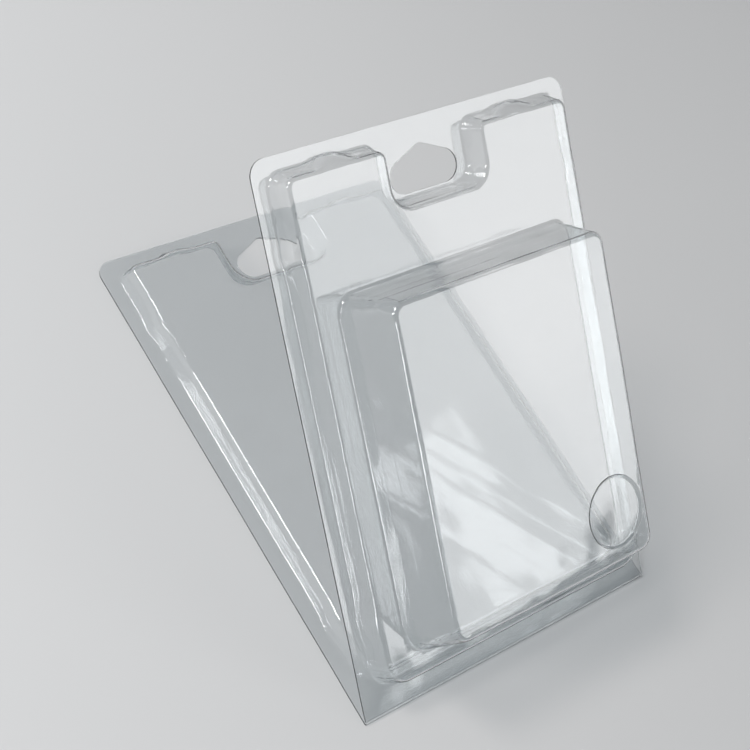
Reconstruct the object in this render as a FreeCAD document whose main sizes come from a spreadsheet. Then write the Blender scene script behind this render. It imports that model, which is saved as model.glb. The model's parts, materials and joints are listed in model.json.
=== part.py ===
import FreeCAD, Part
import os
import re
import Sketcher

# A clear thermoformed clamshell pack: two half shells drawn in one plastic sheet and folded
# together along the bottom edge. The front shell carries a raised platform and a deep bubble for
# the goods. The back shell carries a shallow plug that presses into the platform's hollow when the
# pack is shut. Both have a flat flange with a peaked hang hole at the top.
#
# Both shells are drawn in the same shut frame, in millimetres: X across the pack, Y from the fold to
# the top edge, Z from the back towards the bubble, with the fold's axis as the X axis. The finished
# front shell is then turned up about that axis by the angle at which the pack stands open.

doc = FreeCAD.newDocument("clamshell_pack")

# Driving dimensions, in millimetres and degrees
SIZES = [
    # the sheet and the trimmed outline
    ("sheet_thickness", 0.5),
    ("pack_width", 128.8),
    ("pack_length", 180.0),
    ("outline_radius", 5.5),
    ("opening_angle", 35.6),
    # the fold, where the two shells turn on each other
    ("flange_gap", 0.1),
    ("fold_clearance", 0.1),
    # the raised platform of the front shell, measured at the flange
    ("platform_height", 7.9),
    ("platform_draft", 14.0),
    ("side_flange", 5.1),
    ("top_flange", 5.0),
    ("fold_flange", 8.5),
    ("platform_top_radius", 5.0),
    ("platform_fold_radius", 10.0),
    ("platform_edge_radius", 1.5),
    ("platform_root_radius", 1.0),
    # the bay in the platform that clears the hang hole
    ("bay_side_gap", 4.0),
    ("bay_lower_gap", 1.2),
    ("bay_mouth_radius", 4.5),
    ("bay_root_radius", 5.5),
    # the hang hole
    ("hang_hole_width", 27.6),
    ("hang_hole_end_radius", 5.4),
    ("hang_hole_slope", 22.0),
    ("hang_hole_drop", 17.6),
    # the bubble that holds the goods, measured at the platform
    ("bubble_height", 20.8),
    ("bubble_side_strip", 10.6),
    ("bubble_fold_strip", 9.0),
    ("header_length", 45.1),
    ("bubble_side_draft", 12.2),
    ("bubble_top_draft", 6.0),
    ("bubble_fold_draft", 17.4),
    ("bubble_top_radius", 5.0),
    ("bubble_fold_radius", 7.5),
    ("bubble_edge_radius", 2.0),
    ("bubble_root_radius", 1.2),
    # the shallow round dimple in the bubble's face
    ("dimple_diameter", 24.5),
    ("dimple_depth", 0.8),
    ("dimple_wall_run", 0.8),
    ("dimple_side_inset", 14.0),
    ("dimple_fold_inset", 17.0),
    # how the plug sits in the platform, and the snap beads that hold it there
    ("plug_clearance", 0.5),
    ("bead_radius", 1.5),
    ("bead_height", 0.7),
    ("bead_slope", 50.0),
    ("bead_length", 13.0),
    ("fold_bead_distance", 31.0),
    ("top_bead_distance", 30.0),
    # how far the cavities' blocks reach past the shells that they cut
    ("cut_margin", 1.0),
]

# A bevel whose size is this share of a radius lies close to the arc it stands for. The sheet's inner
# bends and its roots are bevelled, which keeps the many corners light.
BEVEL_SHARE = 0.6

# Edges are chosen by where they lie: on a level to within the first distance, and in a range to
# within the second.
LEVEL_TOLERANCE = 1e-4
RANGE_TOLERANCE = 0.01

# The surfaces of a shell, counted in sheet thicknesses below its outside
OUTSIDE = 0
INSIDE = 1

sheet = doc.addObject("Spreadsheet::Sheet", "sizes")
for row, (alias, number) in enumerate(SIZES, start=1):
    sheet.set(f"A{row}", alias)
    sheet.set(f"B{row}", str(number))
    sheet.setAlias(f"B{row}", alias)
doc.recompute()


def size(text):
    """An expression in which every size is read from the sheet."""
    names = {alias for alias, _ in SIZES}
    return re.sub("[a-z_]+", lambda word: f"sizes.{word[0]}" if word[0] in names else word[0], text)


def value(text):
    """The number that such an expression has now."""
    answer = sheet.evalExpression(text)
    return float(getattr(answer, "Value", answer))


def mitre(draft):
    """How far a wall's foot moves in when both the wall and the floor go down by one sheet."""
    return f"( sheet_thickness * tan(( 90 - {draft} ) / 2 ) )"


# Sizes worked out from the driving ones
HALF_WIDTH = "( pack_width / 2 )"
PLATFORM_HALF = f"( {HALF_WIDTH} - side_flange )"
PLATFORM_TOP = "( pack_length - top_flange )"
HOLE_CENTRE = "( pack_length - hang_hole_drop )"
BAY_HALF = "( hang_hole_width / 2 + bay_side_gap )"
BAY_FLOOR = f"( {HOLE_CENTRE} - hang_hole_end_radius - bay_lower_gap )"
BUBBLE_HALF = f"( {PLATFORM_HALF} - bubble_side_strip )"
BUBBLE_FOLD = "( fold_flange + bubble_fold_strip )"
BUBBLE_TOP = "( pack_length - header_length )"
FOLD_RADIUS = "( sheet_thickness + flange_gap / 2 )"
PLATFORM_MITRE = mitre("platform_draft")
CAVITY_DEPTH = "( platform_height + cut_margin )"
PLUG_HEIGHT = "( platform_height + flange_gap - plug_clearance )"
BEAD_LEVEL = "( flange_gap / 2 + platform_height / 2 )"
BEAD_SINK = "( ( bead_radius - bead_height ) / cos(platform_draft ) )"
BEAD_INSET = (f"( {PLATFORM_MITRE} + plug_clearance + {BEAD_SINK}"
              f" + ( {BEAD_LEVEL} + flange_gap / 2 ) * tan(platform_draft ) )")


def origin_plane(body, role):
    return next(item for item in body.Origin.OriginFeatures if item.Role == role)


def new_sketch(body, name, level):
    """A sketch on the body's XY plane, raised to a level."""
    sketch = body.newObject("Sketcher::SketchObject", name)
    sketch.AttachmentSupport = (origin_plane(body, "XY_Plane"), [""])
    sketch.MapMode = "FlatFace"
    sketch.setExpression("AttachmentOffset.Base.z", size(level))
    return sketch


def bind(sketch, constraint, text):
    """Add a constraint whose value follows an expression."""
    index = sketch.addConstraint(constraint)
    sketch.setExpression(f"Constraints[{index}]", size(text))


def draw_outline(sketch, corners):
    """Draw a closed outline of level and upright lines, anticlockwise, with rounded corners.

    Each corner is (x, y, radius) as expressions, with a radius of None where it is sharp."""
    points = [FreeCAD.Vector(value(size(x)), value(size(y)), 0) for x, y, _ in corners]
    count = len(corners)
    starts = []
    ends = []
    bends = []
    for i, (_, _, radius) in enumerate(corners):
        here = points[i]
        into = (here - points[i - 1]).normalize()
        out = (points[(i + 1) % count] - here).normalize()
        r = 0 if radius is None else value(size(radius))
        ends.append(here - into * r)
        starts.append(here + out * r)
        left_turn = into.cross(out).z > 0
        bends.append((here - into * r + out * r, r, left_turn))

    lines = []
    for i in range(count):
        following = (i + 1) % count
        line = sketch.addGeometry(Part.LineSegment(starts[i], ends[following]))
        upright = abs(points[i].x - points[following].x) < LEVEL_TOLERANCE
        sketch.addConstraint(Sketcher.Constraint("Vertical" if upright else "Horizontal", line))
        if upright:
            place = Sketcher.Constraint("DistanceX", -1, 1, line, 1, points[i].x)
            bind(sketch, place, corners[i][0])
        else:
            place = Sketcher.Constraint("DistanceY", -1, 1, line, 1, points[i].y)
            bind(sketch, place, corners[i][1])
        lines.append(line)

    for i, (centre, r, left_turn) in enumerate(bends):
        before, after = lines[i - 1], lines[i]
        if corners[i][2] is None:
            sketch.addConstraint(Sketcher.Constraint("Coincident", before, 2, after, 1))
            continue
        circle = Part.Circle(centre, FreeCAD.Vector(0, 0, 1), r)
        first, last = (ends[i], starts[i]) if left_turn else (starts[i], ends[i])
        arc = sketch.addGeometry(Part.ArcOfCircle(circle, circle.parameter(first), circle.parameter(last)))
        arc_start, arc_end = (1, 2) if left_turn else (2, 1)
        sketch.addConstraint(Sketcher.Constraint("Tangent", before, 2, arc, arc_start))
        sketch.addConstraint(Sketcher.Constraint("Tangent", arc, arc_end, after, 1))
        bind(sketch, Sketcher.Constraint("Radius", arc, r), corners[i][2])


def draw_flange(sketch, fold_edge, outset="0"):
    """The trimmed outline of a shell: square at the fold and rounded at the top."""
    side = f"{HALF_WIDTH} + {outset}"
    top = f"pack_length + {outset}"
    radius = f"outline_radius + {outset}"
    corners = [
        (f"- ( {side} )", fold_edge, None),
        (side, fold_edge, None),
        (side, top, radius),
        (f"- ( {side} )", top, radius),
    ]
    draw_outline(sketch, corners)


def draw_platform(sketch, inset):
    """The platform's outline with its bay, drawn in by an inset all round."""
    side = f"{PLATFORM_HALF} - {inset}"
    bay = f"{BAY_HALF} + {inset}"
    top = f"{PLATFORM_TOP} - {inset}"
    floor = f"{BAY_FLOOR} - {inset}"
    fold = f"fold_flange + {inset}"
    top_radius = f"platform_top_radius - {inset}"
    fold_radius = f"platform_fold_radius - {inset}"
    mouth = f"bay_mouth_radius - {inset}"
    root = f"bay_root_radius + {inset}"
    corners = [
        (f"- ( {side} )", fold, fold_radius),
        (side, fold, fold_radius),
        (side, top, top_radius),
        (bay, top, mouth),
        (bay, floor, root),
        (f"- ( {bay} )", floor, root),
        (f"- ( {bay} )", top, mouth),
        (f"- ( {side} )", top, top_radius),
    ]
    draw_outline(sketch, corners)


def draw_hang_hole(sketch):
    """A slot with round ends whose upper edge rises to a peak in the middle."""
    radius = value(size("hang_hole_end_radius"))
    reach = value(size("hang_hole_width / 2")) - radius
    centre_y = value(size(HOLE_CENTRE))
    slope = value(size("hang_hole_slope"))
    lean = FreeCAD.Rotation(FreeCAD.Vector(0, 0, 1), 90 - slope)
    right = FreeCAD.Vector(reach, centre_y, 0)
    left = FreeCAD.Vector(-reach, centre_y, 0)
    shoulder = right + lean.multVec(FreeCAD.Vector(radius, 0, 0))
    far_shoulder = FreeCAD.Vector(-shoulder.x, shoulder.y, 0)
    rise = lean.multVec(FreeCAD.Vector(0, 1, 0))
    peak = shoulder + rise * (shoulder.x / -rise.x)
    down = FreeCAD.Vector(0, -radius, 0)
    up = FreeCAD.Vector(0, 0, 1)

    floor = sketch.addGeometry(Part.LineSegment(left + down, right + down))
    circle = Part.Circle(right, up, radius)
    right_arc = sketch.addGeometry(
        Part.ArcOfCircle(circle, circle.parameter(right + down), circle.parameter(shoulder)))
    right_slope = sketch.addGeometry(Part.LineSegment(shoulder, peak))
    left_slope = sketch.addGeometry(Part.LineSegment(peak, far_shoulder))
    circle = Part.Circle(left, up, radius)
    left_arc = sketch.addGeometry(
        Part.ArcOfCircle(circle, circle.parameter(far_shoulder), circle.parameter(left + down)))

    add = sketch.addConstraint
    add(Sketcher.Constraint("Horizontal", floor))
    add(Sketcher.Constraint("Tangent", floor, 2, right_arc, 1))
    add(Sketcher.Constraint("Tangent", right_arc, 2, right_slope, 1))
    add(Sketcher.Constraint("Coincident", right_slope, 2, left_slope, 1))
    add(Sketcher.Constraint("Tangent", left_slope, 2, left_arc, 1))
    add(Sketcher.Constraint("Tangent", left_arc, 2, floor, 1))
    add(Sketcher.Constraint("Equal", left_arc, right_arc))
    add(Sketcher.Constraint("PointOnObject", right_slope, 2, -2))
    bind(sketch, Sketcher.Constraint("Radius", right_arc, radius), "hang_hole_end_radius")
    bind(sketch, Sketcher.Constraint("DistanceX", -1, 1, right_arc, 3, reach),
         "hang_hole_width / 2 - hang_hole_end_radius")
    bind(sketch, Sketcher.Constraint("DistanceX", left_arc, 3, -1, 1, reach),
         "hang_hole_width / 2 - hang_hole_end_radius")
    bind(sketch, Sketcher.Constraint("DistanceY", -1, 1, right_arc, 3, centre_y), HOLE_CENTRE)
    bind(sketch, Sketcher.Constraint("Angle", -1, 2, right_slope, 2, FreeCAD.Units.Quantity(180 - slope, "deg")),
         "180 - hang_hole_slope")


def pad(body, name, sketch, length, draft=None):
    feature = body.newObject("PartDesign::Pad", name)
    feature.Profile = sketch
    feature.setExpression("Length", size(length))
    if draft:
        feature.setExpression("TaperAngle", size(f"- {draft}"))
    doc.recompute()
    return feature


def soften(body, name, radius, chosen, rounded):
    """Round the edges of the body's present shape that a test chooses, or bevel them to match."""
    base = body.Tip
    edges = [f"Edge{i}" for i, edge in enumerate(base.Shape.Edges, start=1) if chosen(edge)]
    feature = body.newObject("PartDesign::Fillet" if rounded else "PartDesign::Chamfer", name)
    feature.Base = (base, edges)
    if rounded:
        feature.setExpression("Radius", size(radius))
    else:
        feature.setExpression("Size", size(f"( {radius} ) * {BEVEL_SHARE}"))
    doc.recompute()


def lies_at(edge, level):
    box = edge.BoundBox
    return abs(box.ZMin - level) < LEVEL_TOLERANCE and abs(box.ZMax - level) < LEVEL_TOLERANCE


def lies_within(edge, half_width, first, last):
    """Whether an edge lies inside a width across the pack and a range along it, as expressions."""
    box = edge.BoundBox
    reach = value(size(half_width)) + RANGE_TOLERANCE
    start = value(size(first)) - RANGE_TOLERANCE
    end = value(size(last)) + RANGE_TOLERANCE
    return abs(box.XMin) < reach and abs(box.XMax) < reach and box.YMin > start and box.YMax < end


def radii(outer_edge, outer_root, surface):
    """The radii of an edge and a root on one of the sheet's surfaces, from those of its outside."""
    change = f"{surface} * sheet_thickness"
    return f"{outer_edge} - {change}", f"{outer_root} + {change}"


def add_block(body, name, centre, turn, sides):
    """Add a block whose four sides lean in as it rises, from limits given as expressions.

    The block rises along its own Y, from its X and Z limits to its X2 and Z2 limits."""
    block = body.newObject("PartDesign::AdditiveWedge", name)
    block.AttachmentSupport = (origin_plane(body, "XY_Plane"), [""])
    block.MapMode = "FlatFace"
    block.AttachmentOffset = FreeCAD.Placement(FreeCAD.Vector(0, 0, 0), turn)
    for axis, text in zip("xyz", centre):
        block.setExpression(f"AttachmentOffset.Base.{axis}", size(text))
    for limit, text in sides.items():
        block.setExpression(limit, size(text))
    doc.recompute()


def add_bead(body, name, centre_x, centre_y, turn, radius):
    """A slim snap bead, whose sides lean so that all of them touch one long rounded core."""
    straight = "bead_length / 2 - bead_radius"
    foot = f"( {radius} ) / sin(bead_slope)"
    crest = f"( {radius} ) * tan(bead_slope / 2)"
    sides = {
        "Xmin": f"- ( {straight} + {foot} )", "Xmax": f"{straight} + {foot}",
        "Ymin": "0", "Ymax": radius,
        "Zmin": f"- {foot}", "Zmax": foot,
        "X2min": f"- ( {straight} + {crest} )", "X2max": f"{straight} + {crest}",
        "Z2min": f"- {crest}", "Z2max": crest,
    }
    outward = FreeCAD.Rotation(FreeCAD.Vector(0, 0, 1), turn)
    add_block(body, name, (centre_x, centre_y, BEAD_LEVEL), outward, sides)


def add_beads(body, radius):
    """Two snap beads in each side wall and one in each half of the top wall."""
    side = f"( {PLATFORM_HALF} - {BEAD_INSET} )"
    top = f"( {PLATFORM_TOP} - {BEAD_INSET} )"
    middle = f"( ( {BAY_HALF} + {PLATFORM_HALF} ) / 2 )"
    for hand, sign, turn in (("left", "- ", 90), ("right", "", -90)):
        add_bead(body, f"{hand}_fold_bead", sign + side, "fold_bead_distance", turn, radius)
        add_bead(body, f"{hand}_side_bead", sign + side, "pack_length - top_bead_distance", turn, radius)
        add_bead(body, f"{hand}_top_bead", sign + middle, top, 0, radius)


def add_platform(body, floor, height, inset, bead, surface):
    """Raise a drafted platform from a floor, add its snap beads and soften its edges."""
    outline = new_sketch(body, "platform_outline", floor)
    draw_platform(outline, inset)
    pad(body, "platform", outline, height, "platform_draft")
    add_beads(body, bead)
    low = value(size(floor))
    high = value(size(f"{floor} + {height}"))
    edge_radius, root_radius = radii("platform_edge_radius", "platform_root_radius", surface)
    soften(body, "platform_edge", edge_radius,
           lambda edge: lies_at(edge, high), surface == OUTSIDE)
    soften(body, "platform_root", root_radius,
           lambda edge: lies_at(edge, low) and lies_within(edge, PLATFORM_HALF, "fold_flange", PLATFORM_TOP),
           False)


def add_bubble(body, floor, surface):
    """Raise the goods bubble, a block whose four walls each lean by their own draft."""
    def foot(draft):
        return f"{surface} * {mitre(draft)}"

    def run(draft):
        return f"bubble_height * tan({draft} )"

    half = f"{BUBBLE_HALF} - {foot('bubble_side_draft')}"
    fold = f"{BUBBLE_FOLD} + {foot('bubble_fold_draft')}"
    top = f"{BUBBLE_TOP} - {foot('bubble_top_draft')}"
    face_half = f"{half} - {run('bubble_side_draft')}"
    sides = {
        "Xmin": f"- ( {half} )", "Xmax": half,
        "Ymin": "0", "Ymax": "bubble_height",
        "Zmin": f"- ( {top} )", "Zmax": f"- ( {fold} )",
        "X2min": f"- ( {face_half} )", "X2max": face_half,
        "Z2min": f"- ( {top} - {run('bubble_top_draft')} )",
        "Z2max": f"- ( {fold} + {run('bubble_fold_draft')} )",
    }
    # a quarter turn stands the block up and points its Z towards the fold
    upright_turn = FreeCAD.Rotation(FreeCAD.Vector(1, 0, 0), 90)
    add_block(body, "bubble", ("0", "0", floor), upright_turn, sides)

    low = value(size(floor))
    high = value(size(f"{floor} + bubble_height"))
    middle = value(size(f"( {BUBBLE_FOLD} + {BUBBLE_TOP} ) / 2"))

    def upright(edge, near_fold):
        box = edge.BoundBox
        spans = abs(box.ZMin - low) < LEVEL_TOLERANCE and abs(box.ZMax - high) < LEVEL_TOLERANCE
        return spans and (edge.CenterOfMass.y < middle) == near_fold

    edge_radius, root_radius = radii("bubble_edge_radius", "bubble_root_radius", surface)
    soften(body, "bubble_top_corners", f"bubble_top_radius - {surface} * sheet_thickness",
           lambda edge: upright(edge, False), True)
    soften(body, "bubble_fold_corners", f"bubble_fold_radius - {surface} * sheet_thickness",
           lambda edge: upright(edge, True), True)
    soften(body, "bubble_edge", edge_radius,
           lambda edge: lies_at(edge, high), surface == OUTSIDE)
    soften(body, "bubble_root", root_radius,
           lambda edge: lies_at(edge, low) and lies_within(edge, half, fold, top), False)

    # the round dimple in the face
    cone = body.newObject("PartDesign::SubtractiveCone", "dimple")
    cone.AttachmentSupport = (origin_plane(body, "XY_Plane"), [""])
    cone.MapMode = "FlatFace"
    widen = f"{surface} * sheet_thickness * tan(atan(dimple_depth / dimple_wall_run ) / 2 )"
    cone.setExpression("AttachmentOffset.Base.x",
                       size(f"{BUBBLE_HALF} - {run('bubble_side_draft')} - dimple_side_inset"))
    cone.setExpression("AttachmentOffset.Base.y",
                       size(f"{BUBBLE_FOLD} + {run('bubble_fold_draft')} + dimple_fold_inset"))
    cone.setExpression("AttachmentOffset.Base.z", size(f"{floor} + bubble_height - dimple_depth"))
    cone.setExpression("Radius1", size(f"dimple_diameter / 2 - dimple_wall_run + {widen}"))
    cone.setExpression("Radius2", size(f"dimple_diameter / 2 + {widen}"))
    cone.setExpression("Height", size("dimple_depth"))
    doc.recompute()


def hollow(body, cavity):
    """Take the cavity's body out of the shell."""
    cut = body.newObject("PartDesign::Boolean", "hollow")
    cut.setObjects([cavity])
    cut.Type = "Cut"
    doc.recompute()


def punch_hang_hole(body):
    sketch = new_sketch(body, "hang_hole_outline", "0")
    draw_hang_hole(sketch)
    hole = body.newObject("PartDesign::Pocket", "hang_hole")
    hole.Profile = sketch
    hole.Type = "ThroughAll"
    hole.Midplane = True
    doc.recompute()


def add_slab(body, name, level, fold_edge, thickness, outset="0"):
    """A flat layer of the flange's outline, standing on a level."""
    sketch = new_sketch(body, f"{name}_outline", level)
    draw_flange(sketch, fold_edge, outset)
    pad(body, name, sketch, thickness)


def add_mouth(body, level):
    """The cavity's lowest part, which reaches past the flange and up to the level of its underside."""
    add_slab(body, "mouth", f"{level} - {CAVITY_DEPTH}", "- cut_margin", CAVITY_DEPTH, "cut_margin")


def make_front_shell():
    fold_edge = f"{FOLD_RADIUS} + fold_clearance"
    inner = "flange_gap / 2"
    outer = "flange_gap / 2 + sheet_thickness"
    cavity = doc.addObject("PartDesign::Body", "front_cavity")
    add_mouth(cavity, inner)
    add_platform(cavity, inner, "platform_height", PLATFORM_MITRE,
                 "( bead_radius + plug_clearance )", INSIDE)
    add_bubble(cavity, f"{inner} + platform_height", INSIDE)

    shell = doc.addObject("PartDesign::Body", "front_shell")
    shell.Label = "front_shell"
    add_slab(shell, "flange", inner, fold_edge, "sheet_thickness")
    add_platform(shell, outer, "platform_height", "0",
                 "( bead_radius + plug_clearance + sheet_thickness )", OUTSIDE)
    add_bubble(shell, f"{outer} + platform_height", OUTSIDE)
    hollow(shell, cavity)
    punch_hang_hole(shell)
    return shell


def make_back_shell():
    outer = "- flange_gap / 2"
    inner = "- flange_gap / 2 - sheet_thickness"
    plug_inset = f"( {PLATFORM_MITRE} + plug_clearance )"
    cavity = doc.addObject("PartDesign::Body", "back_cavity")
    add_mouth(cavity, inner)
    add_platform(cavity, inner, PLUG_HEIGHT, f"( {plug_inset} + {PLATFORM_MITRE} )",
                 "( bead_radius - sheet_thickness )", INSIDE)

    shell = doc.addObject("PartDesign::Body", "back_shell")
    shell.Label = "back_shell"
    add_slab(shell, "flange", inner, "0", "sheet_thickness")
    add_platform(shell, outer, PLUG_HEIGHT, plug_inset, "bead_radius", OUTSIDE)
    hollow(shell, cavity)
    punch_hang_hole(shell)

    # the rolled fold, on which the front shell turns
    roll = shell.newObject("PartDesign::AdditiveCylinder", "fold_roll")
    roll.AttachmentSupport = (origin_plane(shell, "YZ_Plane"), [""])
    roll.MapMode = "FlatFace"
    roll.setExpression("AttachmentOffset.Base.z", size(f"- {HALF_WIDTH}"))
    roll.setExpression("Radius", size(FOLD_RADIUS))
    roll.setExpression("Height", size("pack_width"))
    doc.recompute()
    return shell


def place(shell, turn):
    """Set a shell on the ground with the pack's middle over the origin, turned about the fold."""
    shell.setExpression("Placement.Base.y", size(f"( {FOLD_RADIUS} - pack_length ) / 2"))
    shell.setExpression("Placement.Base.z", size(FOLD_RADIUS))
    shell.Placement.Rotation = FreeCAD.Rotation(FreeCAD.Vector(1, 0, 0), 0)
    if turn:
        shell.setExpression("Placement.Rotation.Angle", size(turn))
        shell.setExpression("Placement.Rotation.Axis.x", "1")
        shell.setExpression("Placement.Rotation.Axis.z", "0")
    doc.recompute()


back_shell = make_back_shell()
front_shell = make_front_shell()
place(back_shell, None)
place(front_shell, "opening_angle")

faults = []
for item in doc.Objects:
    if "Invalid" in item.State or "Error" in item.State:
        faults.append(f"{item.Name}: {item.State}")
for shell in (back_shell, front_shell):
    if shell.Shape.isNull() or not shell.Shape.isValid() or len(shell.Shape.Solids) != 1:
        faults.append(f"{shell.Label}: shape is not one valid solid")
if faults:
    raise RuntimeError("; ".join(faults))

os.makedirs("parts", exist_ok=True)
for shell in (back_shell, front_shell):
    box = shell.Shape.BoundBox
    print(f"{shell.Label}: {shell.Shape.Volume:.1f} mm3, {box}")
    shell.Shape.exportStep(f"parts/{shell.Label}.step")
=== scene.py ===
import json
import math

import bmesh
import bpy
from mathutils import Matrix, Vector


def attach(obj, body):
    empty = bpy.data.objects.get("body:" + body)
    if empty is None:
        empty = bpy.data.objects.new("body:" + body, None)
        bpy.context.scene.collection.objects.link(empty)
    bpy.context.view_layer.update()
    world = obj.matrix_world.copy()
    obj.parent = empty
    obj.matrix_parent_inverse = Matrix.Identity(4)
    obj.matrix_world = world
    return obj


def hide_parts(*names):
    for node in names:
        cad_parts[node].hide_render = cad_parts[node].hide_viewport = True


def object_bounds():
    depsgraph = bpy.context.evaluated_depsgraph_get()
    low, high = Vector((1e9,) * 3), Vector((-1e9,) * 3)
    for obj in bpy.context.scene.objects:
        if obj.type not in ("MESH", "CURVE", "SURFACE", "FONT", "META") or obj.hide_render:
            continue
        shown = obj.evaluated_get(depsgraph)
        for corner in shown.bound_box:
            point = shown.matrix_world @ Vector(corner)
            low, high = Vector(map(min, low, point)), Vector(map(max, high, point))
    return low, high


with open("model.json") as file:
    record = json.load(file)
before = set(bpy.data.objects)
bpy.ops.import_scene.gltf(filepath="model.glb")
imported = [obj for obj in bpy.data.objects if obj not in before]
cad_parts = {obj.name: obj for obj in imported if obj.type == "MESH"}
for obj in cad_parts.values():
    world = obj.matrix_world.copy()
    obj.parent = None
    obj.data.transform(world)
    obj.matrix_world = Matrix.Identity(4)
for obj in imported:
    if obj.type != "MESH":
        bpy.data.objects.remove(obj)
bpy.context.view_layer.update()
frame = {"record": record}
HINGE = frame["record"]["behaviour"]["joints"][0]
OPENING = math.radians(-HINGE["range_deg"][0])

# The two shells are drawn in millimetres in one shut frame: X across the pack, Y from the fold to
# the top edge, Z from the back towards the bubble, with the fold's axis as the X axis. All sizes
# are those of a sheet's face on the bubble's side, and drafts are in degrees.
SHEET = 0.5
GAP = 0.1
FOLD_RADIUS = SHEET + GAP / 2
FOLD_CLEARANCE = 0.1
FOLD_STEPS = 8
HALF_WIDTH = 64.4
LENGTH = 180.0
OUTLINE_RADIUS = 5.5

PLATFORM_HALF = 59.3
PLATFORM_FOLD = 8.5
PLATFORM_TOP = 175.0
PLATFORM_HEIGHT = 7.9
PLATFORM_DRAFT = 14.0
PLATFORM_TOP_RADIUS = 5.0
PLATFORM_FOLD_RADIUS = 10.0
PLATFORM_EDGE = 1.5
PLATFORM_ROOT = 1.0
PLATFORM_ROWS = [1.5, 2.3, 3.1, 4.0, 4.8, 5.5, 6.2]
BAY_HALF = 17.8
BAY_FLOOR = 155.8
BAY_MOUTH = 4.5
BAY_ROOT = 5.5

PLUG_CLEARANCE = 0.5
PLUG_ROWS = [1.4, 2.2, 3.0, 3.8, 4.6, 5.3, 5.9]

HOLE_HALF = 13.8
HOLE_FLOOR = 157.0
HOLE_SHOULDER = 166.04
HOLE_PEAK = 171.62
HOLE_FLOOR_RADIUS = 5.39
HOLE_SHOULDER_RADIUS = 3.63
HOLE_PEAK_RADIUS = 0.8

BUBBLE_HALF = 48.7
BUBBLE_FOLD = 17.5
BUBBLE_TOP = 134.9
BUBBLE_HEIGHT = 20.8
BUBBLE_EDGE = 2.0
BUBBLE_ROOT = 1.2
BUBBLE_ROWS = [2.5 + 1.5 * row for row in range(11)]
SIDE_DRAFT = 12.2
TOP_DRAFT = 6.0
FOLD_DRAFT = 17.4
# The bubble's corner radii at its foot and at its face, for its top end and its fold end.
TOP_CORNERS = (6.0, 4.5)
FOLD_CORNERS = (9.5, 5.0)

DIMPLE_CENTRE = (29.8, 41.0)
DIMPLE_RADIUS = 12.25
DIMPLE_DEPTH = 0.8
DIMPLE_EDGE = 0.7
DIMPLE_SLOPE = 45.0
DIMPLE_STEPS = 72

BEAD_HEIGHT = 3.2
BEAD_CORE = 4.2
BEAD_ACROSS = 1.5
BEAD_SPREAD = 5.0
SIDE_BEADS = (31.0, 150.0)
SIDE_PUSH = 1.0
TOP_BEAD = 37.0
TOP_PUSH = 1.8

# The sheet's ripple: a soft swell all over, and streaks that run along the drawn walls. Each grows
# over a reach: the swell from a distance from the fold, the streaks from a distance from a flat.
SWELL_SIZE = 38
SWELL_DEPTH = 0.4
SWELL_START = 1.0
SWELL_REACH = 9.0
STREAK_SIZE = 2.7
STREAK_DEPTH = 0.42
STREAK_STRETCH = 18
STREAK_START = 0.9
STREAK_REACH = 1.2

# The steps of bends and corners, the grid that the ripple moves, the longest edge that is merged
# away from it, and the distance within which two places are the same.
ARC_STEPS = 5
CORNER_STEPS = 8
GRID = 3.0
SLIVER = 0.08
NEAR = 0.002
SMOOTH_ANGLE = math.radians(40)

# The camera's place in metres, and its axes, which give the photograph's angle and roll.
CAMERA_PLACE = (-0.34298, -0.142275, 0.47946)
CAMERA_RIGHT = (0.76143618, -0.51572821, 0.39273318)
CAMERA_UP = (0.29916096, 0.81703895, 0.49289966)
CAMERA_BACK = (-0.57508057, -0.2578212, 0.77640877)
CAMERA_LENS = 83.26

# Each lamp's place and target in metres, its width and height, and its power in watts.
LAMPS = {
    "right_softbox": ((0.60, -0.61, 0.62), (0, 0, 0.04), 0.54, 0.54, 2.6),
    "top_softbox": ((-0.70, 0.75, 1.15), (0, 0, 0), 0.36, 0.36, 15.5),
    "left_softbox": ((-1.0, 0.25, 0.5), (0, 0, 0), 0.24, 0.24, 6.5),
    "far_strip": ((0.60, 0.10, 0.80), (0, 0, 0.02), 0.22, 0.06, 0.12),
    "left_strip": ((-1.05, -0.71, 0.42), (0, 0, 0.05), 0.12, 0.5, 2.8),
}
FLOOR_SIZE = 12


def lies(item, test):
    """Whether all the corners of an edge or face pass a test of place."""
    return all(test(vertex.co) for vertex in item.verts)


def pick(kind, test):
    """Select the parts of the mesh in edit mode that pass a test: VERT, EDGE or FACE."""
    bpy.ops.mesh.select_mode(type=kind)
    bpy.ops.mesh.select_all(action="DESELECT")
    mesh = bmesh.from_edit_mesh(bpy.context.edit_object.data)
    for item in {"VERT": mesh.verts, "EDGE": mesh.edges, "FACE": mesh.faces}[kind]:
        if test(item):
            item.select_set(True)
    mesh.select_flush_mode()
    bmesh.update_edit_mesh(bpy.context.edit_object.data)


def pick_flat(level):
    """Select the faces that lie at a level."""
    pick("FACE", lambda face: lies(face, lambda co: abs(co.z - level) < NEAR))


def round_corner(x, y, z, reach):
    """Round the flat corner at a point, by cutting it back by a distance along its edges."""
    place = Vector((x, y, z))
    pick("VERT", lambda vertex: (vertex.co - place).length < NEAR)
    bpy.ops.mesh.bevel(offset=reach, affect="VERTICES", segments=CORNER_STEPS, profile=0.5)


def add_plate(half, first, last, level, top_radius=0.0, fold_radius=0.0):
    """A flat face with round corners, from one distance from the fold to another."""
    centre = (0, (first + last) / 2, level)
    bpy.ops.mesh.select_all(action="DESELECT")
    bpy.ops.mesh.primitive_plane_add(size=1, location=centre)
    bpy.ops.transform.resize(value=(2 * half, last - first, 1), center_override=centre)
    for y, radius in ((last, top_radius), (first, fold_radius)):
        for x in (-half, half):
            if radius:
                round_corner(x, y, level, radius)


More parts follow.
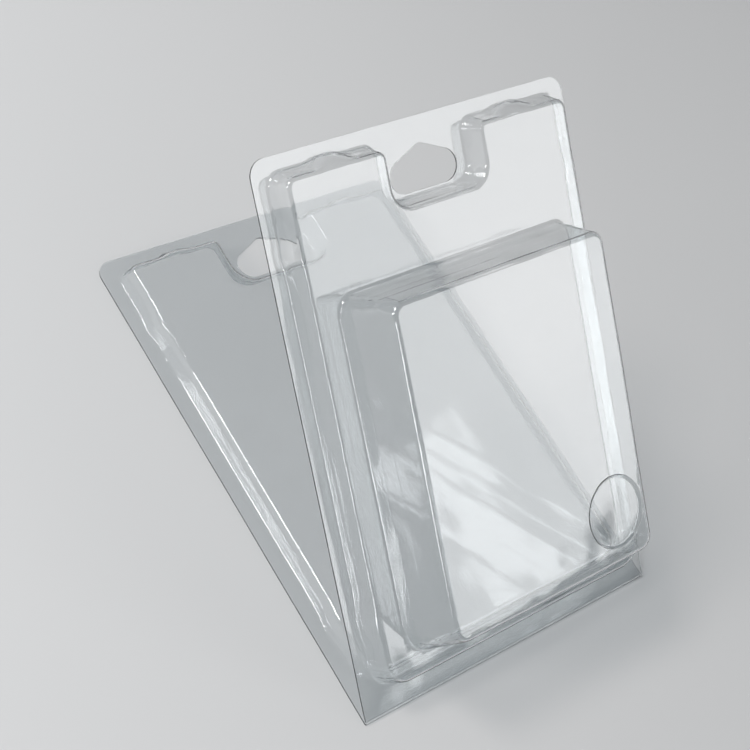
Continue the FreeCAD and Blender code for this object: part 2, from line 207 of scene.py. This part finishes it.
def open_face(level):
    """Take away the flat faces at a level, and leave their edges."""
    pick("FACE", lambda face: len(face.verts) > 4
         and lies(face, lambda co: abs(co.z - level) < NEAR))
    bpy.ops.mesh.delete(type="ONLY_FACE")


def fill(level):
    """Fill the flat between the open loops at a level."""
    pick("EDGE", lambda edge: len(edge.link_faces) < 2
         and lies(edge, lambda co: abs(co.z - level) < NEAR))
    bpy.ops.mesh.fill(use_beauty=True)
    pick("FACE", lambda face: len(face.verts) == 3
         and lies(face, lambda co: abs(co.z - level) < NEAR))
    bpy.ops.mesh.dissolve_limited(angle_limit=math.radians(1), use_dissolve_boundaries=False)


def bend_steps(radius, draft):
    """The outward run and the rise of each point along a bend's arc, from the flat to the wall."""
    turn = math.radians(90 - draft)
    reach = radius * math.tan(turn / 2)
    angles = [turn * i / ARC_STEPS for i in range(ARC_STEPS + 1)]
    return [(reach - radius * math.sin(a), radius * (1 - math.cos(a))) for a in angles]


def wall_profile(height, draft, root, edge, levels):
    """The inset and the height of each point up a wall, with its root and edge rounded."""
    lean = math.tan(math.radians(draft))
    low = [(-run, rise) for run, rise in bend_steps(root, draft)]
    middle = [(z * lean, z) for z in levels]
    high = [(height * lean + run, height - rise) for run, rise in bend_steps(edge, draft)]
    return low + middle + high[::-1]


def inset_along(profile, sign=1):
    """Inset the selected faces through each point of a wall's profile, up or down."""
    for (inset_before, rise_before), (inset_after, rise_after) in zip(profile, profile[1:]):
        bpy.ops.mesh.inset(thickness=inset_after - inset_before,
                           depth=sign * (rise_after - rise_before), use_even_offset=True)


def add_platform(level, height, inset, levels):
    """A raised platform with a bay for the hang hole, whose top is one open loop."""
    profile = wall_profile(height, PLATFORM_DRAFT, PLATFORM_ROOT, PLATFORM_EDGE, levels)
    start = profile[0][0] + inset
    half = PLATFORM_HALF - start
    bay = BAY_HALF + start
    top = PLATFORM_TOP - start
    floor = BAY_FLOOR - start
    add_plate(half, PLATFORM_FOLD + start, top, level)
    for x in (-bay, bay):
        pick_flat(level)
        bpy.ops.mesh.bisect(plane_co=(x, 0, 0), plane_no=(1, 0, 0))
    pick_flat(level)
    bpy.ops.mesh.bisect(plane_co=(0, floor, 0), plane_no=(0, 1, 0))
    pick("FACE", lambda face: lies(
        face, lambda co: abs(co.x) < bay + NEAR and co.y > floor - NEAR))
    bpy.ops.mesh.delete(type="FACE")
    pick_flat(level)
    bpy.ops.mesh.dissolve_limited(angle_limit=math.radians(1))
    for side in (-1, 1):
        round_corner(side * half, PLATFORM_FOLD + start, level, PLATFORM_FOLD_RADIUS - start)
        round_corner(side * half, top, level, PLATFORM_TOP_RADIUS - start)
        round_corner(side * bay, top, level, BAY_MOUTH - start)
        round_corner(side * bay, floor, level, BAY_ROOT + start)
    pick_flat(level)
    inset_along(profile)


def add_hang_hole(level):
    """The outline of the peaked hang hole, as one open loop."""
    add_plate(HOLE_HALF, HOLE_FLOOR, HOLE_SHOULDER, level)
    pick("EDGE", lambda edge: lies(edge, lambda co: abs(co.y - HOLE_SHOULDER) < NEAR))
    bpy.ops.mesh.subdivide(number_cuts=1)
    pick("VERT", lambda vertex: (vertex.co - Vector((0, HOLE_SHOULDER, level))).length < NEAR)
    bpy.ops.transform.translate(value=(0, HOLE_PEAK - HOLE_SHOULDER, 0))
    for side in (-1, 1):
        round_corner(side * HOLE_HALF, HOLE_FLOOR, level, HOLE_FLOOR_RADIUS)
        round_corner(side * HOLE_HALF, HOLE_SHOULDER, level, HOLE_SHOULDER_RADIUS)
    round_corner(0, HOLE_PEAK, level, HOLE_PEAK_RADIUS)


def add_flange(level, fold_edge):
    """The flat border round a platform, from the fold to the top edge, with its hang hole."""
    add_plate(HALF_WIDTH, fold_edge, LENGTH, level, OUTLINE_RADIUS)
    add_hang_hole(level)
    open_face(level)
    fill(level)


def wall_inset(z, draft):
    """How far a bubble wall has moved in at a height, and how far that is off its straight line."""
    profile = wall_profile(BUBBLE_HEIGHT, draft, BUBBLE_ROOT, BUBBLE_EDGE, [])
    straight = z * math.tan(math.radians(draft))
    for (inset_low, low), (inset_high, high) in zip(profile, profile[1:]):
        if low <= z <= high:
            share = (z - low) / (high - low)
            inset = inset_low + (inset_high - inset_low) * share
            return inset, inset - straight
    return profile[-1][0], profile[-1][0] - straight


def add_bubble(level):
    """The deep bubble, lofted through rounded outlines whose corners tighten as they rise."""
    profile = wall_profile(BUBBLE_HEIGHT, SIDE_DRAFT, BUBBLE_ROOT, BUBBLE_EDGE, BUBBLE_ROWS)
    levels = [z for _, z in profile]
    for z in levels:
        side, bend = wall_inset(z, SIDE_DRAFT)
        top, _ = wall_inset(z, TOP_DRAFT)
        fold, _ = wall_inset(z, FOLD_DRAFT)
        share = z / BUBBLE_HEIGHT
        corners = [foot - (foot - face) * share - bend
                   for foot, face in (TOP_CORNERS, FOLD_CORNERS)]
        add_plate(BUBBLE_HALF - side, BUBBLE_FOLD + fold, BUBBLE_TOP - top, level + z, *corners)
        if z < levels[-1]:
            open_face(level + z)
    open_face(level + levels[-1])

    def on_outlines(co, low, high):
        at_level = min(abs(co.z - level - low), abs(co.z - level - high)) < NEAR
        return (at_level and abs(co.x) < BUBBLE_HALF + GRID
                and BUBBLE_FOLD - GRID < co.y < BUBBLE_TOP + GRID)

    for low, high in zip(levels, levels[1:]):
        pick("EDGE", lambda edge: len(edge.link_faces) < 2
             and lies(edge, lambda co: on_outlines(co, low, high))
             and abs(edge.verts[0].co.z - edge.verts[1].co.z) < NEAR)
        bpy.ops.mesh.bridge_edge_loops()


def add_dimple(level):
    """The shallow round dimple, sunk into the face."""
    bpy.ops.mesh.select_all(action="DESELECT")
    profile = wall_profile(DIMPLE_DEPTH, DIMPLE_SLOPE, DIMPLE_EDGE, DIMPLE_EDGE, [])
    bpy.ops.mesh.primitive_circle_add(
        vertices=DIMPLE_STEPS, radius=DIMPLE_RADIUS - profile[0][0], fill_type="NGON",
        location=(*DIMPLE_CENTRE, level))
    inset_along(profile, -1)


def start_piece(name):
    """A new empty mesh in edit mode."""
    bpy.ops.object.select_all(action="DESELECT")
    bpy.ops.mesh.primitive_plane_add(size=1)
    piece = bpy.context.object
    piece.name = name
    piece.data.name = name
    bpy.ops.object.mode_set(mode="EDIT")
    bpy.ops.mesh.select_all(action="SELECT")
    bpy.ops.mesh.delete(type="VERT")
    return piece


def cut_grid():
    """Cut the flats and walls into a grid, so that the sheet can ripple, and merge its slivers."""
    bpy.ops.mesh.select_mode(type="FACE")
    for reach, axis in ((HALF_WIDTH, 0), (LENGTH, 1)):
        place = GRID / 2 if axis else GRID / 2 - GRID * int(reach / GRID)
        while place < reach:
            point = [0, 0, 0]
            normal = [0, 0, 0]
            point[axis] = place
            normal[axis] = 1
            bpy.ops.mesh.select_all(action="SELECT")
            bpy.ops.mesh.bisect(plane_co=point, plane_no=normal)
            place += GRID
    bpy.ops.mesh.select_all(action="SELECT")
    bpy.ops.mesh.remove_doubles(threshold=SLIVER)
    bpy.ops.mesh.dissolve_degenerate(threshold=SLIVER)


def press_beads(level, inset):
    """Push the platform's walls out at each snap bead: two in each side, one in each top wall."""
    lean = BEAD_HEIGHT * math.tan(math.radians(PLATFORM_DRAFT))
    side = PLATFORM_HALF - inset - lean
    top = PLATFORM_TOP - inset - lean
    beads = [((hand * side, along), (hand * SIDE_PUSH, 0, 0), (BEAD_ACROSS, BEAD_CORE))
             for hand in (-1, 1) for along in SIDE_BEADS]
    beads += [((hand * TOP_BEAD, top), (0, TOP_PUSH, 0), (BEAD_CORE, BEAD_ACROSS))
              for hand in (-1, 1)]
    for (x, y), push, (reach_x, reach_y) in beads:
        pick("VERT", lambda vertex: abs(vertex.co.x - x) < reach_x
             and abs(vertex.co.y - y) < reach_y
             and abs(vertex.co.z - level - BEAD_HEIGHT) < 1)
        bpy.ops.transform.translate(
            value=push, use_proportional_edit=True, proportional_edit_falloff="SMOOTH",
            proportional_size=BEAD_SPREAD)


def curl_fold(level):
    """Turn the sheet's fold edge round the fold's axis, towards the other shell."""
    pick("EDGE", lambda edge: lies(
        edge, lambda co: abs(co.y) < NEAR and abs(co.z - level) < NEAR))
    bpy.ops.mesh.spin(steps=FOLD_STEPS, angle=math.pi, center=(0, 0, 0), axis=(1, 0, 0))


def select_only(piece):
    """Select one piece alone and make it active."""
    bpy.ops.object.select_all(action="DESELECT")
    piece.select_set(True)
    bpy.context.view_layer.objects.active = piece


def apply_all(piece):
    """Apply a piece's modifiers in their order."""
    select_only(piece)
    for modifier in list(piece.modifiers):
        bpy.ops.object.modifier_apply(modifier=modifier.name)


def add_ripple(piece, name, size, depth, stretch, share):
    """Ripple a surface by soft clouds of a size, drawn out along the sheet by a stretch."""
    group = piece.vertex_groups.new(name=name)
    for vertex in piece.data.vertices:
        group.add([vertex.index], min(max(share(vertex.co), 0.0), 1.0), "REPLACE")
    bpy.ops.object.empty_add(location=(0, 0, 0))
    guide = bpy.context.object
    guide.scale = (stretch, stretch, 1)
    clouds = bpy.data.textures.new(f"{piece.name}_{name}", "CLOUDS")
    clouds.noise_scale = size
    clouds.noise_depth = 1
    ripple = piece.modifiers.new(name, "DISPLACE")
    ripple.texture = clouds
    ripple.texture_coords = "OBJECT"
    ripple.texture_coords_object = guide
    ripple.mid_level = 0.5
    ripple.strength = depth
    ripple.vertex_group = group.name
    return guide


def finish_shell(piece, flats, turn):
    """Ripple the drawn surface, give it the sheet's thickness, and lay it where the frame has it.

    The two shells swell alike, so that their flanges lie flat together when shut. The swell dies
    out towards the fold, which stays straight, and the streaks die out towards the flats.
    """
    bpy.ops.mesh.select_all(action="SELECT")
    bpy.ops.mesh.normals_make_consistent(inside=False)
    mesh = bmesh.from_edit_mesh(piece.data)
    if sum(face.normal.z * face.calc_area() for face in mesh.faces) < 0:
        bpy.ops.mesh.flip_normals()
    bpy.ops.object.mode_set(mode="OBJECT")

    def swell_share(co):
        return (co.y - SWELL_START) / SWELL_REACH

    def streak_share(co):
        return (min(abs(co.z - flat) for flat in flats) - STREAK_START) / STREAK_REACH

    guides = [
        add_ripple(piece, "swell", SWELL_SIZE, SWELL_DEPTH, 1, swell_share),
        add_ripple(piece, "streaks", STREAK_SIZE, STREAK_DEPTH, STREAK_STRETCH, streak_share)]
    wall = piece.modifiers.new("sheet", "SOLIDIFY")
    wall.thickness = SHEET
    wall.offset = -1
    wall.use_quality_normals = True
    apply_all(piece)
    piece.vertex_groups.clear()
    for guide in guides:
        bpy.data.objects.remove(guide)

    turned = Matrix.Rotation(turn, 4, "X") @ Matrix.Scale(0.001, 4)
    piece.data.transform(Matrix.Translation(HINGE["pos_m"]) @ turned)
    select_only(piece)
    bpy.ops.object.shade_smooth_by_angle(angle=SMOOTH_ANGLE)
    piece.modifiers.new("even_flats", "WEIGHTED_NORMAL").keep_sharp = True
    apply_all(piece)


def make_front_shell():
    """The lid: a flange, the raised platform, the goods bubble and its dimple."""
    piece = start_piece("front_sheet")
    level = GAP / 2 + SHEET
    add_platform(level, PLATFORM_HEIGHT, 0, PLATFORM_ROWS)
    top = level + PLATFORM_HEIGHT
    open_face(top)
    add_flange(level, FOLD_RADIUS + FOLD_CLEARANCE)
    add_bubble(top)
    fill(top)
    add_dimple(top + BUBBLE_HEIGHT)
    fill(top + BUBBLE_HEIGHT)
    cut_grid()
    press_beads(level, 0)
    finish_shell(piece, [level, top, top + BUBBLE_HEIGHT], OPENING)
    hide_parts("front_shell")
    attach(piece, "front")
    return piece


def make_back_shell():
    """The back: a flange, the plug that nests in the lid's platform, and the curl of the fold."""
    piece = start_piece("back_sheet")
    level = -GAP / 2
    inset = PLUG_CLEARANCE + SHEET * math.tan(math.radians((90 - PLATFORM_DRAFT) / 2))
    height = PLATFORM_HEIGHT + GAP - PLUG_CLEARANCE
    add_platform(level, height, inset, PLUG_ROWS)
    add_flange(level, 0)
    cut_grid()
    press_beads(level, inset)
    curl_fold(level)
    finish_shell(piece, [level, level + height], 0)
    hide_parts("back_shell")
    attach(piece, "back")
    return piece


class Value:
    """A shader socket that Python's arithmetic works on, by adding Math nodes."""

    def __init__(self, tree, socket):
        self.tree = tree
        self.socket = socket

    def node(self, kind, settings=None, inputs=None, output=0):
        """Add a node: first its settings, then the values or links of its sockets."""
        node = self.tree.nodes.new(kind)
        for name, setting in (settings or {}).items():
            setattr(node, name, setting)
        for name, given in (inputs or {}).items():
            if isinstance(given, Value):
                self.tree.links.new(given.socket, node.inputs[name])
            else:
                node.inputs[name].default_value = given
        return Value(self.tree, node.outputs[output])

    def maths(self, operation, *given):
        """Add a Math node that works on the values or links given."""
        return self.node("ShaderNodeMath", {"operation": operation}, dict(enumerate(given)))

    def __mul__(self, other):
        return self.maths("MULTIPLY", self, other)

    def __rmul__(self, other):
        return self.maths("MULTIPLY", other, self)


def new_material(name):
    """An empty material, with its tree and its output node."""
    material = bpy.data.materials.new(name)
    material.use_nodes = True
    tree = material.node_tree
    tree.nodes.clear()
    output = tree.nodes.new("ShaderNodeOutputMaterial")
    return material, tree, output


def clear_sheet_material():
    """Clear glossy sheet with faint haze, scuffs and ripple, which lets the lamps' light by."""
    material, tree, output = new_material("clear_sheet")
    start = Value(tree, None)
    place = start.node("ShaderNodeTexCoord", output="Object")
    swell = start.node("ShaderNodeTexNoise", inputs={
        "Vector": place, "Scale": 45.0, "Detail": 1.0})
    bump = start.node("ShaderNodeBump", inputs={
        "Strength": 0.06, "Distance": 0.004, "Height": swell}, output="Normal")
    haze = start.node("ShaderNodeTexNoise", inputs={
        "Vector": place, "Scale": 26.0, "Detail": 3.0})
    scuffs = start.node("ShaderNodeTexNoise", inputs={
        "Vector": place, "Scale": 160.0, "Detail": 2.0})
    roughness = haze * scuffs * 0.16
    glass = start.node("ShaderNodeBsdfPrincipled", inputs={
        "Base Color": (0.93, 0.945, 0.95, 1), "Roughness": roughness, "IOR": 1.57,
        "Transmission Weight": 1.0, "Normal": bump})
    shadow = start.node("ShaderNodeLightPath", output="Is Shadow Ray")
    bounce = start.node("ShaderNodeLightPath", output="Is Diffuse Ray")
    ray = shadow.maths("MAXIMUM", shadow, bounce)
    clear = start.node("ShaderNodeBsdfTransparent", inputs={"Color": (0.9, 0.91, 0.915, 1)})
    mixed = start.node("ShaderNodeMixShader", inputs={0: ray, 1: glass, 2: clear})
    tree.links.new(mixed.socket, output.inputs["Surface"])
    return material


def floor_material():
    """Pale matt floor that stays pale to the eye beyond the lamps' reach."""
    material, tree, output = new_material("pale_floor")
    start = Value(tree, None)
    place = start.node("ShaderNodeTexCoord", output="Object")
    distance = start.node("ShaderNodeVectorMath", {"operation": "LENGTH"}, {0: place}, "Value")
    far = start.node("ShaderNodeMapRange", {"interpolation_type": "SMOOTHSTEP"}, {
        "Value": distance, "From Min": 0.45, "From Max": 1.7})
    camera, glossy, through = (start.node("ShaderNodeLightPath", output=f"Is {kind} Ray")
                               for kind in ("Camera", "Glossy", "Transmission"))
    seen = camera.maths("MAXIMUM", camera.maths("MAXIMUM", camera, glossy), through)
    glow = start.node("ShaderNodeMix", {"data_type": "RGBA"}, {
        0: far * seen, 6: (0, 0, 0, 1), 7: (0.5, 0.505, 0.51, 1)}, 2)
    paint = start.node("ShaderNodeBsdfPrincipled", inputs={
        "Base Color": (0.6, 0.605, 0.61, 1), "Roughness": 0.7, "Specular IOR Level": 0.2,
        "Emission Color": glow, "Emission Strength": 1.0})
    tree.links.new(paint.socket, output.inputs["Surface"])
    return material


def add_floor():
    """The floor, at the lowest point of the rippled sheet."""
    bpy.ops.object.select_all(action="DESELECT")
    bpy.ops.mesh.primitive_plane_add(size=FLOOR_SIZE, location=(0, 0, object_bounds()[0][2]))
    floor = bpy.context.object
    floor.name = "floor"
    floor.data.materials.append(floor_material())


def add_studio_world():
    """A pale backdrop round the horizon, under a dimmer sky."""
    world = bpy.data.worlds.new("studio")
    world.use_nodes = True
    tree = world.node_tree
    tree.nodes.clear()
    start = Value(tree, None)
    direction = start.node("ShaderNodeTexCoord", output="Generated")
    height = start.node("ShaderNodeSeparateXYZ", inputs={"Vector": direction}, output="Z")
    strength = start.node("ShaderNodeMapRange", {"interpolation_type": "SMOOTHSTEP"}, {
        "Value": height, "From Min": 0.08, "From Max": 0.35, "To Min": 0.6, "To Max": 0.1})
    light = start.node("ShaderNodeBackground", inputs={
        "Color": (0.8, 0.82, 0.85, 1), "Strength": strength})
    output = tree.nodes.new("ShaderNodeOutputWorld")
    tree.links.new(light.socket, output.inputs["Surface"])
    bpy.context.scene.world = world


def add_softbox(name, place, target, width, height, power):
    """A rectangular soft lamp that faces a point."""
    lamp = bpy.data.lights.new(name, "AREA")
    lamp.shape = "RECTANGLE"
    lamp.size = width
    lamp.size_y = height
    lamp.energy = power
    holder = bpy.data.objects.new(name, lamp)
    aim = (Vector(target) - Vector(place)).to_track_quat("-Z", "Y")
    holder.matrix_world = Matrix.Translation(place) @ aim.to_matrix().to_4x4()
    bpy.context.scene.collection.objects.link(holder)


def add_camera():
    """The camera, which looks down on the pack from the photograph's side."""
    turn = Matrix((CAMERA_RIGHT, CAMERA_UP, CAMERA_BACK)).transposed().to_4x4()
    camera = bpy.data.cameras.new("camera")
    camera.lens = CAMERA_LENS
    camera.sensor_width = 36
    camera.clip_start = 0.01
    holder = bpy.data.objects.new("camera", camera)
    holder.matrix_world = Matrix.Translation(CAMERA_PLACE) @ turn
    bpy.context.scene.collection.objects.link(holder)
    bpy.context.scene.camera = holder


front = make_front_shell()
back = make_back_shell()
sheet_material = clear_sheet_material()
for piece in (front, back):
    piece.data.materials.clear()
    piece.data.materials.append(sheet_material)

add_floor()
for name, (place, target, width, height, power) in LAMPS.items():
    add_softbox(name, place, target, width, height, power)
add_camera()
add_studio_world()
bpy.context.scene.view_settings.view_transform = "Standard"
